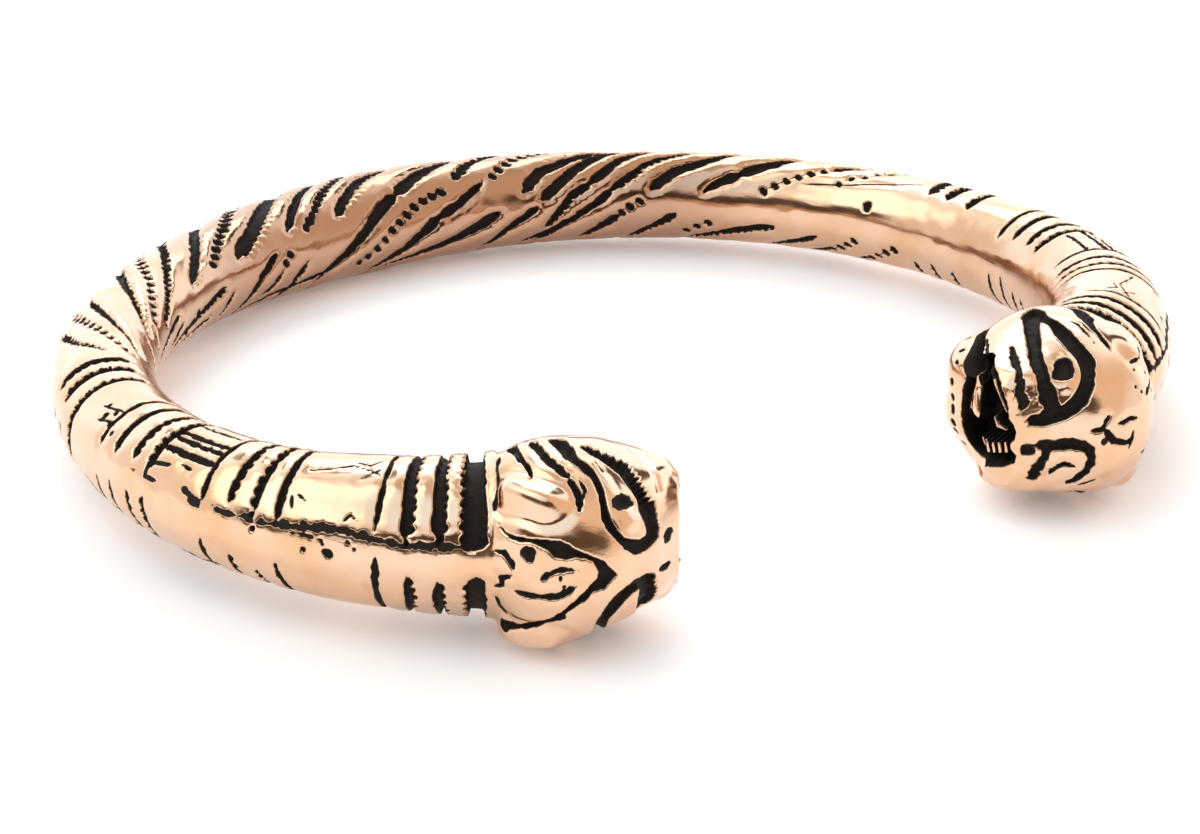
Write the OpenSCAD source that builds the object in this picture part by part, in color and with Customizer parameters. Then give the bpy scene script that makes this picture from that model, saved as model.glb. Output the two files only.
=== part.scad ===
// A cast bronze arm ring: an open hoop, twisted across its back and banded near its ends,
// whose two ends are the heads of a beast that face each other across the gap.
// Lengths are in millimetres and turns in degrees. The ring lies flat, its gap toward -Y.

/* [Bends] */
// Radius of the bend across the back, to the middle of the metal
back_bend_r = 35.6; // [30:0.1:42]
// Turn of each arm within the back bend
back_turn = 35.5; // [28:0.5:42]
// Radius of the bend along each side
side_bend_r = 31.4; // [28:0.1:36]
// Turn of the left arm along its side
left_side_turn = 57; // [50:0.5:62]
// Turn of the right arm along its side, more than the left as it was bent by hand
right_side_turn = 64.5; // [50:0.5:66]
// Radius of the bend before each head
end_bend_r = 22; // [18:0.1:26]
// Turn of the left arm before its head
left_end_turn = 53; // [40:0.5:58]
// Turn of the right arm before its head
right_end_turn = 60.5; // [45:0.5:62]

/* [Hoop] */
// Thickness of the hoop at the middle of the back
back_d = 7.3; // [5:0.1:9]
// Thickness of the hoop where it is thinnest, part of the way along each arm
thin_d = 6.6; // [5:0.1:9]
// Thickness of the hoop behind each head
neck_d = 9.6; // [7:0.1:10.5]

/* [Twist] */
// Grooves that wind round the hoop
twist_grooves = 8; // [6:1:10]
// Length along the hoop in which a groove goes once round
twist_lead = 32.7; // [24:0.1:60]
// Width of each winding groove
twist_w = 0.9; // [0.5:0.05:1.3]
// Depth of each winding groove
twist_depth = 0.4; // [0.2:0.05:0.6]

/* [Bands] */
// Length of the banded stretch behind each head
band_l = 35; // [25:0.5:42]
// Width of a full cross groove
band_w = 0.7; // [0.4:0.05:0.9]
// Depth of a full cross groove
band_depth = 0.4; // [0.2:0.05:0.6]
// Rise of the smooth panel between the bands
panel_rise = 0.15; // [0:0.05:0.4]

/* [Heads] */
// Length of each head from its collar to the snout
head_l = 10.8; // [8:0.1:13]
// Reach of the crown, outward from the middle of the metal
crown_reach = 6.8; // [5.5:0.1:8]
// Reach of the throat, inward from the middle of the metal
throat_reach = 5.7; // [5:0.1:7]
// Height of each head across its ears
head_h = 11.6; // [10:0.1:14]
// Depth of the open mouth
mouth_depth = 2.4; // [1:0.1:3.5]
// Thickness of the lips round the mouth
lip_w = 0.55; // [0.3:0.05:0.8]
// Length of each eye, corner to corner
eye_l = 5.6; // [4:0.1:6.5]
// Width of each eye
eye_w = 2.2; // [1.6:0.1:2.8]
// Rise of each eye, ear and brow
relief_rise = 0.45; // [0.2:0.05:0.7]
// Depth of the grooves cut round the eyes and the brow leaf
relief_depth = 0.5; // [0.2:0.05:0.7]

/* [Hidden] */
bronze = [0.80, 0.56, 0.38];

// Points round the hoop: three to a winding groove, and twice as many round a head
round_n = 3 * twist_grooves;
head_n = 2 * round_n;
// Steps along the twisted stretch and along each head
twist_steps = 46;
head_steps = 18;
// Squareness of a head's sections: 1 would be an ellipse
squareness = 0.86;
// How far round the hoop the cross grooves run, as angles from straight outward
band_gap = 22;
band_end = 112;

// Columns: place along the banded stretch, width and depth, as shares of band_l, band_w and band_depth
bands = [
    [0.024, 1.5, 1.5],
    [0.068, 1.0, 1.0],
    [0.111, 0.9, 1.0],
    [0.160, 0.5, 0.6],
    [0.300, 0.6, 0.8],
    [0.343, 0.7, 0.8],
    [0.385, 0.7, 0.8],
    [0.431, 0.7, 0.8],
    [0.566, 1.0, 1.0],
    [0.612, 0.9, 1.0],
    [0.665, 0.9, 1.0],
    [0.713, 0.5, 0.6],
    [0.849, 0.8, 0.9],
    [0.912, 0.8, 0.9],
    [0.963, 0.7, 0.8],
];
// Places between the bands where the plain panels get one section more, as shares of band_l
panels = [0.230, 0.500, 0.780];
smooth_panel = panels[0];

// Columns: place along the head, then crown, throat and height as shares of their full size.
// Before the first row the head swells out of the neck.
head_rows = [
    [0.38, 1.00, 0.96, 1.00],
    [0.52, 0.98, 1.00, 0.94],
    [0.66, 0.91, 0.98, 0.85],
    [0.76, 0.78, 0.93, 0.79],
    [0.86, 0.57, 0.81, 0.74],
    [0.94, 0.40, 0.67, 0.68],
    [1.00, 0.24, 0.50, 0.57],
];

// Where the carving of a head lies. Columns: share of head_l, angle from the crown
eye_at = [0.64, 48];
ear_at = [0.21, 52];
leaf_tip = 0.67;
leaf_spread = 26;
mouth_corner = 125;

function mix(a, b, t) = a + (b - a) * t;
function ease(t) = let (c = min(max(t, 0), 1)) c * c * (3 - 2 * c);
// 1 at zero, easing to 0 at a distance of w
function bump(d, w) = 1 - ease(abs(d) / w);
// Angle brought between -180 and 180
function wrap(a) = a - 360 * round(a / 360);
// Value of one column at x in a table whose first column rises
function row_value(rows, col, x, k = 0) =
    k >= len(rows) - 2 || x <= rows[k + 1][0]
        ? mix(rows[k][col], rows[k + 1][col], (x - rows[k][0]) / (rows[k + 1][0] - rows[k][0]))
        : row_value(rows, col, x, k + 1);

// The bends of one arm, from the middle of the back to the neck. side is -1 for left and 1 for right
function bends(side) = [
    [back_bend_r, back_turn],
    [side_bend_r, side < 0 ? left_side_turn : right_side_turn],
    [end_bend_r, side < 0 ? left_end_turn : right_end_turn],
];
function bend_l(bend) = bend[0] * bend[1] * PI / 180;
function arm_l(side) = bend_l(bends(side)[0]) + bend_l(bends(side)[1]) + bend_l(bends(side)[2]);
left_l = arm_l(-1);
right_l = arm_l(1);
hoop_l = left_l + right_l;

// [point, turn so far] at distance d from the middle of the back, straight on past the last bend
function along(side, d, k = 0, at = [0, 0], turn = 0) =
    k == 3
        ? [at + d * [side * cos(turn), -sin(turn)], turn]
        : let (
            bend = bends(side)[k],
            step = min(d / bend_l(bend), 1) * bend[1],
            next = at + bend[0] * [side * (sin(turn + step) - sin(turn)), cos(turn + step) - cos(turn)]
        )
        d <= bend_l(bend) ? [next, turn + step] : along(side, d - bend_l(bend), k + 1, next, turn + step);

// A point of the ring. t runs along it from the left neck, out and up are offsets from the middle
function on_ring(t, out, up) =
    let (
        side = t < left_l ? -1 : 1,
        here = along(side, abs(t - left_l)),
        p = here[0] + out * [side * sin(here[1]), cos(here[1])]
    )
    [p[0], p[1], up];

// The hoop

function hoop_r(t) =
    let (share = t < left_l ? 1 - t / left_l : (t - left_l) / right_l)
    share < 0.25
        ? mix(back_d, thin_d, ease(share / 0.25)) / 2
        : mix(thin_d, neck_d, pow(max(share - 0.3, 0) / 0.7, 2.4)) / 2;

// How deep a cross groove is at angle a: whole on both flanks, faint on the crown and the inner face
function band_reach(a) =
    let (w = abs(wrap(a - 8)))
    w < band_gap ? 0.25 : w < band_end ? 1 : 0.3;

// How deep a winding groove is at angle a: faint on the strip that lies on the arm
function twist_reach(a) = 1 - 0.8 * bump(wrap(a - 160), 45);

// Whole turn of the winding grooves, so that both ends of the hoop share their points
twist_from = band_l;
twist_l = hoop_l - 2 * band_l;
point_step = 360 / round_n;
twist_turn = -round(360 * twist_l / twist_lead / point_step) * point_step;

// Angle of point i of n after a turn. gather draws the points beside each winding groove to its edges
function point_angle(i, n, turn, gather) =
    let (
        edge = twist_w / (thin_d / 2) * 90 / PI,
        near = i % 3 == 1 ? edge - point_step : i % 3 == 2 ? point_step - edge : 0
    )
    i * 360 / n + turn + gather * near;

// One section of the banded stretches, sunk by a share of the groove's depth
function band_section(t, sink, rise, turn) = [
    for (i = [0:round_n - 1])
        let (
            a = point_angle(i, round_n, turn, 0),
            r = hoop_r(t) + rise * bump(wrap(a), 120) - sink * band_depth * band_reach(a)
        )
        on_ring(t, r * cos(a), r * sin(a))
];

// Sections of one banded stretch from the neck on. Columns: distance, sink, rise
function band_stations() =
    concat(
        [[0, 0, 0]],
        [
            for (k = [0:len(bands) - 1])
                let (b = bands[k])
                each concat(
                    [
                        [b[0] * band_l - b[1] * band_w / 2, 0, 0],
                        [b[0] * band_l, b[2], 0],
                        [b[0] * band_l + b[1] * band_w / 2, 0, 0],
                    ],
                    k == len(bands) - 1
                        ? []
                        : [
                            for (p = panels)
                                if (p > b[0] && p < bands[k + 1][0])
                                    [p * band_l, 0, p == smooth_panel ? panel_rise : 0]
                        ]
                )
        ]
    );
function reversed(list) = [for (i = [len(list) - 1:-1:0]) list[i]];

left_bands = [for (s = band_stations()) band_section(s[0], s[1], s[2], 0)];
right_bands = [for (s = reversed(band_stations())) band_section(hoop_l - s[0], s[1], s[2], twist_turn)];

twisted = [
    for (k = [0:twist_steps])
        let (
            share = k / twist_steps,
            t = twist_from + share * twist_l,
            fade = ease(min(share, 1 - share) * twist_steps / 3)
        )
        [
            for (i = [0:round_n - 1])
                let (
                    a = point_angle(i, round_n, twist_turn * share, fade),
                    r = hoop_r(t) - (i % 3 == 0 ? fade * twist_depth * twist_reach(a) : 0)
                )
                on_ring(t, r * cos(a), r * sin(a))
        ]
];

// The heads

// How far the head's surface stands from its middle: column 1 for the crown, 2 the throat, 3 the height
function head_reach(share, col) =
    let (
        full = [0, crown_reach, throat_reach, head_h / 2][col],
        swell_end = head_rows[0][0]
    )
    share < swell_end
        ? mix(neck_d / 2, full * head_rows[0][col], ease(0.12 + 0.88 * share / swell_end))
        : full * row_value(head_rows, col, share);

// Carving at a place along the head and an angle from the crown, alike above and below
function carving(share, a) =
    let (
        w = abs(wrap(a)),
        half_h = head_h / 2,
        // the eye lies askew, so its distance is taken along and across it
        along_eye = [(share - eye_at[0]) * head_l, (w - eye_at[1]) * PI / 180 * half_h],
        slant = [0.6, -0.8],
        eye = norm([
            along_eye * slant / (eye_l / 2),
            (along_eye[0] * 0.8 + along_eye[1] * 0.6) / (eye_w / 2)
        ]),
        ear = norm([(share - ear_at[0]) / 0.2, (w - ear_at[1]) / 34]),
        // the brow leaf narrows from the collar to its tip
        leaf_half = leaf_spread * sqrt(max(1 - share / leaf_tip, 0)),
        leaf = share > leaf_tip + 0.06 ? 99 : (w - leaf_half) * PI / 180 * half_h
    )
    relief_rise * (bump(eye, 1) + 0.8 * bump(ear, 1))
        - relief_depth * (eye > 0.9 ? bump(eye - 1.25, 0.45) : 0)
        - 0.7 * relief_depth * bump(leaf, 0.7);

// How far back the mouth's corners lie, at an angle from the crown
function corner_back(a) = 0.22 * head_l * bump(abs(wrap(a)) - mouth_corner, 40);

// A head's section. inset draws it toward the middle of the mouth, back sinks it along the head
function head_section(side, share, turn, inset = 0, back = 0) = [
    for (i = [0:head_n - 1])
        let (
            // points stand closer on the crown than on the throat
            even = wrap(i * 360 / head_n + turn),
            a = even - 14 * sin(even),
            half_out = head_reach(share, abs(a) < 90 ? 1 : 2),
            lift = inset > 0 ? 0 : carving(share, a) * ease(share / 0.06),
            out = half_out * sign(cos(a)) * pow(abs(cos(a)), squareness) + lift * cos(a),
            up = head_reach(share, 3) * sign(sin(a)) * pow(abs(sin(a)), squareness) + lift * sin(a),
            mid = (head_reach(share, 1) - head_reach(share, 2)) / 2,
            reach = head_l * share - corner_back(a) * ease((share - 0.75) / 0.25) - back
        )
        on_ring(side < 0 ? -reach : hoop_l + reach, mix(out, mid, inset), up * (1 - inset))
];

// Sections from the collar to the lips, then the mouth's rim, floor edge and floor
end_half = head_reach(1, 3);
function head_sections(side, turn) = [
    for (k = [1:head_steps]) head_section(side, k / head_steps, turn),
    head_section(side, 1, turn, lip_w / end_half, 0.1),
    head_section(side, 1, turn, 1.5 * lip_w / end_half, mouth_depth),
    head_section(side, 1, turn, 0.6, 1.1 * mouth_depth),
];
left_head = head_sections(-1, 0);
right_head = head_sections(1, twist_turn);
left_deep = on_ring(-head_l + 1.15 * mouth_depth, 0, 0);
right_deep = on_ring(hoop_l + head_l - 1.15 * mouth_depth, 0, 0);

// One skin: the left head from its mouth out, the hoop, then the right head
hoop_rings = concat(left_bands, twisted, right_bands);
head_rings = len(left_head);
hoop_from = 1 + head_rings * head_n;
right_from = hoop_from + len(hoop_rings) * round_n;
last_point = right_from + head_rings * head_n;
loose = concat(
    [left_deep],
    [for (ring = reversed(left_head)) each ring],
    [for (ring = hoop_rings) each ring],
    [for (ring = right_head) each ring],
    [right_deep]
);

// Two triangles for each step between rings of n points that start at from
function between(from, n, rings) = [
    for (k = [0:rings - 2], i = [0:n - 1])
        let (
            a = from + k * n,
            j = (i + 1) % n
        )
        each [[a + i, a + n + i, a + n + j], [a + i, a + n + j, a + j]]
];
// Three triangles where one ring has twice the points of the next. flip is for the other order
function halved(many, few, flip) = [
    for (i = [0:round_n - 1])
        let (
            j = (i + 1) % round_n,
            m = [many + 2 * i, many + 2 * i + 1, many + (2 * i + 2) % head_n],
            f = [few + i, few + j]
        )
        each [
            for (tri = [[m[0], f[0], m[1]], [m[1], f[0], f[1]], [m[1], f[1], m[2]]])
                flip ? reversed(tri) : tri
        ]
];
faces = concat(
    [for (i = [0:head_n - 1]) [0, 1 + i, 1 + (i + 1) % head_n]],
    between(1, head_n, head_rings),
    halved(hoop_from - head_n, hoop_from, false),
    between(hoop_from, round_n, len(hoop_rings)),
    halved(right_from, right_from - round_n, true),
    between(right_from, head_n, head_rings),
    [for (i = [0:head_n - 1]) [last_point, last_point - head_n + (i + 1) % head_n, last_point - head_n + i]]
);

// The ring is turned so that its two heads stand square to the gap, tipped so that it rests
// on their underside and on the back, and set with its lowest point at zero
ear_reach = head_rows[0][0] * head_l;
left_ear = on_ring(-ear_reach, 0, 0);
right_ear = on_ring(hoop_l + ear_reach, 0, 0);
skew = atan2(right_ear[1] - left_ear[1], right_ear[0] - left_ear[0]);
function turned(p) = [p[0] * cos(skew) + p[1] * sin(skew), p[1] * cos(skew) - p[0] * sin(skew), p[2]];
tip = asin((head_h / 2 - back_d / 2) / -turned(left_ear)[1]);
function tipped(p) = [p[0], p[1] * cos(tip) + p[2] * sin(tip), p[2] * cos(tip) - p[1] * sin(tip)];
lying = [for (p = loose) tipped(turned(p))];
low = [for (k = [0:2]) min([for (p = lying) p[k]])];
high = [for (k = [0:2]) max([for (p = lying) p[k]])];
origin = [(low[0] + high[0]) / 2, (low[1] + high[1]) / 2, low[2]];

module arm_ring()
    color(bronze)
        polyhedron([for (p = lying) p - origin], faces, 4);

arm_ring();
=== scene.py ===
# Looks of the cast bronze arm ring: a twisted hoop with banded arms and two beast heads.
# Shapes are worked out in millimetres, along the ring and round it, and placed in metres.
from math import radians, pi, sin, cos, asin, atan2

import bpy
import numpy as np
from mathutils import Vector, Matrix


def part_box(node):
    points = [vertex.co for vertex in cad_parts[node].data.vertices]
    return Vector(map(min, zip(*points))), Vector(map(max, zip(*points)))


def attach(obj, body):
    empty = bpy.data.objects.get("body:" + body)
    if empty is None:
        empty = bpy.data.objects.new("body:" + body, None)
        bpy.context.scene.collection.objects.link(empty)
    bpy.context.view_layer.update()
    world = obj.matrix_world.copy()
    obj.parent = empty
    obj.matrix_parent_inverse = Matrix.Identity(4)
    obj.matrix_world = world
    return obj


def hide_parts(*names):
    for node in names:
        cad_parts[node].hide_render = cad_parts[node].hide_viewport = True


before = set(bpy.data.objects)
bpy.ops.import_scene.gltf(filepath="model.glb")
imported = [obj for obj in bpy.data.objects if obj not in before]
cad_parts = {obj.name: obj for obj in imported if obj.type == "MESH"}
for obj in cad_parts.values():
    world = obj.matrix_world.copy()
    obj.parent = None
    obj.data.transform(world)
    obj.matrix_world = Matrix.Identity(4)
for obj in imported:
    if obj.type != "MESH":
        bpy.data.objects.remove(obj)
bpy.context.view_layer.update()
print("frame loaded")

mm = 0.001
farOff = 99.0       # stands for a place that no stroke comes near

# Driving sizes of the casting (mm and degrees): the frame's, with the hoop a hair thinner.
# Pairs are where a change starts and how far it takes.
ring = {
    "backRadius": 35.6, "backTurn": 35.5,
    "sideRadius": 31.4, "sideTurn": {-1: 57.0, 1: 64.5},
    "endRadius": 22.0, "endTurn": {-1: 53.0, 1: 60.5},
    "backThick": 7.28, "thinThick": 6.54, "neckThick": 9.56,
    "thinning": 0.25, "swelling": (0.3, 0.7), "swellCurve": 2.4,    # as shares of an arm
    "bandLength": 35.0, "headLength": 10.8, "headHeight": 11.6,
    "earAt": 0.38,            # share of a head's length at its ears
    "collarAt": 0.8,          # where a head's mesh meets the arm's, at the bottom of the collar groove
    # slight unevenness of the casting: height, cells along and round, share of the small ones
    "lump": 0.035, "broadLumps": (2.6, 30), "closeLumps": (1.1, 12), "closeShare": 0.6,
    # painted shade, a browner tone that stands in for the darker room the back mirrors and for the shade on
    # the inner side:
    # its middle on the back, its reach, fade and strength there, and its strength and fade on the inner side
    "paintedShadeAt": 6.0, "paintedShadeReach": 30.0, "paintedShadeFade": 12, "paintedShadeBack": 0.7,
    "paintedShadeInner": 0.25, "innerFade": 0.8,
}

# How fine each mesh is: steps along and round
grids = {
    "hoopRound": 192, "armSteps": 470, "twistSteps": 468,
    "headRound": 384, "headSteps": 172, "snoutSteps": 82,
}

# Random seeds of the ragged edges, the strays of the bands and the lumps
seeds = {
    "leftArm": 11, "twistedBack": 12, "rightArm": 13, "leftHead": 21, "rightHead": 22,
    "leftBands": 100, "rightBands": 200, "lowerBands": 40, "lumps": 5,
}


def ease(x):
    x = np.clip(x, 0, 1)
    return x * x * (3 - 2 * x)


def easeFrom(x, start, over):
    return ease((x - start) / over)


def wayAlong(x, y):
    # length walked up to each point of a line
    return np.concatenate([[0], np.cumsum(np.hypot(np.diff(x), np.diff(y)))])


# The middle line of the hoop

def armBends(side):
    turns = (ring["backTurn"], ring["sideTurn"][side], ring["endTurn"][side])
    return list(zip((ring["backRadius"], ring["sideRadius"], ring["endRadius"]), map(radians, turns)))


def armLength(side):
    return sum(radius * turn for radius, turn in armBends(side))


leftLength, rightLength = armLength(-1), armLength(1)
hoopLength = leftLength + rightLength


def pastNeck(side, d):
    # place along the ring at distance d past one side's neck, below zero for its arm
    return -d if side < 0 else hoopLength + d


def middleLine(t):
    # x, y, the turn so far and the side at distance t from the left neck, straight on past both necks
    side = np.where(t < leftLength, -1, 1)
    out = []
    for s in (-1, 1):
        d = np.abs(t - leftLength)
        x, y, turn, start = 0 * d, 0 * d, 0 * d, 0
        for radius, bend in armBends(s):
            part = np.clip(d - start, 0, radius * bend) / radius
            x += radius * (np.sin(turn + part) - np.sin(turn))
            y += radius * (np.cos(turn + part) - np.cos(turn))
            turn = turn + part
            start += radius * bend
        rest = np.maximum(d - start, 0)
        out.append((s * (x + rest * np.cos(turn)), y - rest * np.sin(turn), turn))
    return [np.where(side < 0, left, right) for left, right in zip(*out)] + [side]


def onRing(t, out, up):
    x, y, turn, side = middleLine(t)
    return np.stack([x + out * side * np.sin(turn), y + out * np.cos(turn), up + 0 * x], -1)


# The ring lies with its heads square to the gap, tipped on to its back and heads
earReach = ring["earAt"] * ring["headLength"]
leftEar, rightEar = onRing(np.array([-earReach, hoopLength + earReach]), 0.0, 0.0)
skew = atan2(rightEar[1] - leftEar[1], rightEar[0] - leftEar[0])
earBack = leftEar[0] * sin(skew) - leftEar[1] * cos(skew)
tip = asin((ring["headHeight"] - ring["backThick"]) / 2 / earBack)
lying = np.array(Matrix.Rotation(-tip, 3, "X") @ Matrix.Rotation(-skew, 3, "Z"))


def hoopRadius(t):
    share = np.where(t < leftLength, 1 - t / leftLength, (t - leftLength) / rightLength)
    slim = ring["backThick"] + (ring["thinThick"] - ring["backThick"]) * ease(share / ring["thinning"])
    start, over = ring["swelling"]
    swell = np.clip((share - start) / over, 0, 1) ** ring["swellCurve"]
    return (slim + (ring["neckThick"] - ring["thinThick"]) * swell) / 2


# Relief: heights in mm on a sheet of rows along the ring and columns of angle round it

# How the tools cut. Pairs are where a slope starts, counted inward from the edge, and how wide it is
chisel = {
    "reach": 0.9,                               # how far beside a stroke the metal may change
    "wall": (-0.04, 0.15), "shoulder": (-0.6, 0.7),
    "pointed": 0.3,                             # share of its width that a tapered stroke ends with
    "roughFloor": 0.08, "roughTeeth": 0.12, "areaJag": 0.05, "islandEdge": 0.03,
    "punchReach": 0.4, "punchEdge": 0.06, "punchWall": 0.8, "punchJag": 0.3,
    # unevenness of every edge: cells along and round, share of the fine ones, fade toward a seam
    "coarse": (0.34, 4.5), "fine": (0.15, 2.25), "fineShare": 0.5, "seamFade": 0.5,
    "darkFade": 0.2, "strokeDark": 0.6, "punchDark": 0.62, "mouthDark": 0.65,
}


def turnFrom(middle, angle):
    return (angle - middle + 180) % 360 - 180


def lumps(along, angle, cellAlong, cellAngle, seed):
    # smooth random values from -1 to 1, the same on both sides of the closing line
    rows, turns = 211, round(360 / cellAngle)
    values = np.random.default_rng(seed).uniform(-1, 1, (rows, turns))
    u, v = along[:, None] / cellAlong + 50, (angle[None, :] % 360) / cellAngle
    i, j = np.floor(u).astype(int), np.floor(v).astype(int)
    fu, fv = ease(u - i), ease(v - j)
    corner = lambda a, b: values[(i + a) % rows, (j + b) % turns]
    near = corner(0, 0) * (1 - fu) + corner(1, 0) * fu
    far = corner(0, 1) * (1 - fu) + corner(1, 1) * fu
    return near * (1 - fv) + far * fv


def newSheet(along, angle, reach, seed, fadeEnd=True):
    # cut and dark hold the carving, rise the swellings, ragged the unevenness of every edge,
    # which fades where two pieces meet
    flat = np.zeros((len(along), len(angle)))
    near = np.minimum(along - along[0], along[-1] - along if fadeEnd else farOff)
    coarse = lumps(along, angle, *chisel["coarse"], seed)
    fine = lumps(along, angle, *chisel["fine"], seed + 1)
    return {
        "along": along, "angle": angle, "perDegree": reach * pi / 180,
        "cut": flat.copy(), "rise": flat.copy(), "dark": flat.copy(),
        "ragged": ease(near / chisel["seamFade"])[:, None] * (coarse + chisel["fineShare"] * fine),
    }


def nearSegment(x, y, ex, ey):
    # how far along a segment from the origin each place lies, as a share, and the distance to it
    share = np.clip((x * ex + y * ey) / (ex * ex + ey * ey), 0, 1)
    return share, np.hypot(x - share * ex, y - share * ey)


def nearStroke(sheet, points, margin):
    # distance to a stroke, the way along it and the side of it that each place lies on, and its length
    along, perDegree = sheet["along"], sheet["perDegree"]
    far = np.full(sheet["cut"].shape, farOff)
    way, side = np.zeros_like(far), np.zeros_like(far)
    walked, typical = 0.0, float(np.median(perDegree))
    for (a0, f0), (a1, f1) in zip(points, points[1:]):
        rows = np.nonzero((along > min(a0, a1) - margin) & (along < max(a0, a1) + margin))[0]
        if len(rows):
            scale = perDegree[rows][:, None]
            offset = turnFrom((f0 + f1) / 2, sheet["angle"])
            cols = np.nonzero(np.abs(offset) < abs(f1 - f0) / 2 + margin / scale.min())[0]
            x = along[rows][:, None] - a0
            y = (offset[cols][None, :] + (f1 - f0) / 2) * scale
            ex, ey = a1 - a0 + 1e-6, (f1 - f0) * scale
            share, gap = nearSegment(x, y, ex, ey)
            block = np.ix_(rows, cols)
            closer = gap < far[block]
            far[block] = np.where(closer, gap, far[block])
            way[block] = np.where(closer, walked + share * np.hypot(ex, ey), way[block])
            side[block] = np.where(closer, np.sign(x * ey - y * ex), side[block])
        walked += float(np.hypot(a1 - a0, (f1 - f0) * typical))
    return far, way, side, walked


def insidePolygon(x, y, corners):
    # signed distance to the outline, above zero inside
    gap, within = np.full(x.shape, farOff), np.zeros(x.shape, bool)
    for (x0, y0), (x1, y1) in zip(corners, corners[1:] + corners[:1]):
        ex, ey = x1 - x0, y1 - y0
        gap = np.minimum(gap, nearSegment(x - x0, y - y0, ex, ey)[1])
        if ey:
            within ^= ((y0 > y) != (y1 > y)) & (x < ex * (y - y0) / ey + x0)
    return np.where(within, gap, -gap)


def darkness(inside, atEdge):
    return np.clip(inside / chisel["darkFade"] + chisel[atEdge], 0, 1)


def sinkIn(sheet, inside, depth, sink):
    # inside is the distance past the edge of a cut, in mm
    floor = depth * (1 - chisel["roughFloor"] + chisel["roughFloor"] * sheet["ragged"])
    lowered = easeFrom(inside, *chisel["wall"]) * floor + easeFrom(inside, *chisel["shoulder"]) * sink
    sheet["cut"] = np.maximum(sheet["cut"], lowered)
    sheet["dark"] = np.maximum(sheet["dark"], darkness(inside, "strokeDark"))


def cutGroove(sheet, points, width, depth, taper=0, teeth=None, jag=0.06, sink=0.05):
    # width may be (start, end). teeth is (pitch, size, side) for a scalloped edge.
    # sink is how far the metal beside the cut is drawn down, so that the ridges between look rounded
    far, way, side, length = nearStroke(sheet, points, np.max(width) + chisel["reach"])
    if far.min() == farOff:
        return
    first, last = (width, width) if np.isscalar(width) else width
    half = (first + (last - first) * np.clip(way / max(length, 1e-6), 0, 1)) / 2
    if taper:
        half = half * np.clip(np.minimum(way, length - way) / taper + chisel["pointed"], chisel["pointed"], 1)
    half = half + jag * sheet["ragged"]
    if teeth:
        pitch, size, edge = teeth
        bites = np.abs(np.sin(pi * (way / pitch + chisel["roughTeeth"] * sheet["ragged"])))
        half = half + size * (2 * bites - 1) * (side == edge)
    sinkIn(sheet, half - far, depth, sink)


def cutArea(sheet, corners, depth, islands):
    # a sunken area with standing islands in it, all outlined along and round
    along, reach = sheet["along"], chisel["reach"]
    places, angles = zip(*corners)
    rows = np.nonzero((along > min(places) - reach) & (along < max(places) + reach))[0]
    scale = float(np.median(sheet["perDegree"][rows]))
    middle = (min(angles) + max(angles)) / 2
    offset = turnFrom(middle, sheet["angle"])
    cols = np.nonzero(np.abs(offset) < (max(angles) - min(angles)) / 2 + reach / scale)[0]
    block = np.ix_(rows, cols)
    x, y = np.meshgrid(along[rows], offset[cols] * scale, indexing="ij")
    flat = lambda outline: [(a, (f - middle) * scale) for a, f in outline]
    inside = insidePolygon(x, y, flat(corners)) + chisel["areaJag"] * sheet["ragged"][block]
    for island in islands:
        inside = np.minimum(inside, chisel["islandEdge"] - insidePolygon(x, y, flat(island)))
    part = {key: sheet[key][block] for key in ("cut", "dark", "ragged")}
    sinkIn(part, inside, depth, 0)
    sheet["cut"][block], sheet["dark"][block] = part["cut"], part["dark"]


def punchDot(sheet, at, radius, depth, stretch=None):
    # a round punch mark, or a long one if stretch gives the other end
    far = nearStroke(sheet, [at, stretch or (at[0] + 0.01, at[1])], radius + chisel["punchReach"])[0]
    inside = radius + chisel["punchJag"] * radius * sheet["ragged"] - far
    slope = ease((inside + chisel["punchEdge"]) / (radius * chisel["punchWall"]))
    sheet["cut"] = np.maximum(sheet["cut"], depth * slope)
    sheet["dark"] = np.maximum(sheet["dark"], darkness(inside, "punchDark"))


def raisePad(sheet, points, radius, rise, soft):
    # a soft swelling, or a hollow if rise is below zero
    far = nearStroke(sheet, points, radius + soft)[0]
    sheet["rise"] += rise * ease((radius + soft / 2 - far) / soft)


# Bands of the two arms. Columns: place from the neck, width, depth, upper stroke from and to,
# lower stroke from and to, width of the lower stroke, side of the scalloped edge
bands = [
    (0.85, 1.15, 0.62, 150, 20, -13, -150, 0.95, -1),
    (2.55, 0.64, 0.50, 132, 16, -13, -145, 0.50, 1),
    (4.10, 0.60, 0.50, 130, 16, -9, -145, 0.42, 1),
    (5.55, 0.24, 0.30, 106, 24, 4, -132, 0.32, 0),
    (10.8, 0.38, 0.40, 139, 20, -17, -140, 0.32, 0),
    (12.1, 0.42, 0.42, 139, 23, -28, -138, 0.28, -1),
    (13.6, 0.42, 0.42, 139, 28, -17, -140, 0.28, 1),
    (15.35, 0.30, 0.38, 135, 24, -13, -140, 0.28, 0),
    (19.8, 0.58, 0.45, 139, 34, 4, -166, 0.36, -1),
    (21.4, 0.50, 0.40, 136, 36, 2, -168, 0.34, 1),
    (23.3, 0.56, 0.42, 136, 30, 0, -176, 0.34, 0),
    (25.0, 0.32, 0.32, 142, 27, -5, -172, 0.30, 0),
    (29.7, 0.60, 0.40, 122, -24, -40, -154, 0.36, -1),
    (31.9, 0.80, 0.42, 118, 32, 5, -152, 0.40, -1),
    (33.7, 0.80, 0.42, 116, 33, 5, -146, 0.40, 1),
]
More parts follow.
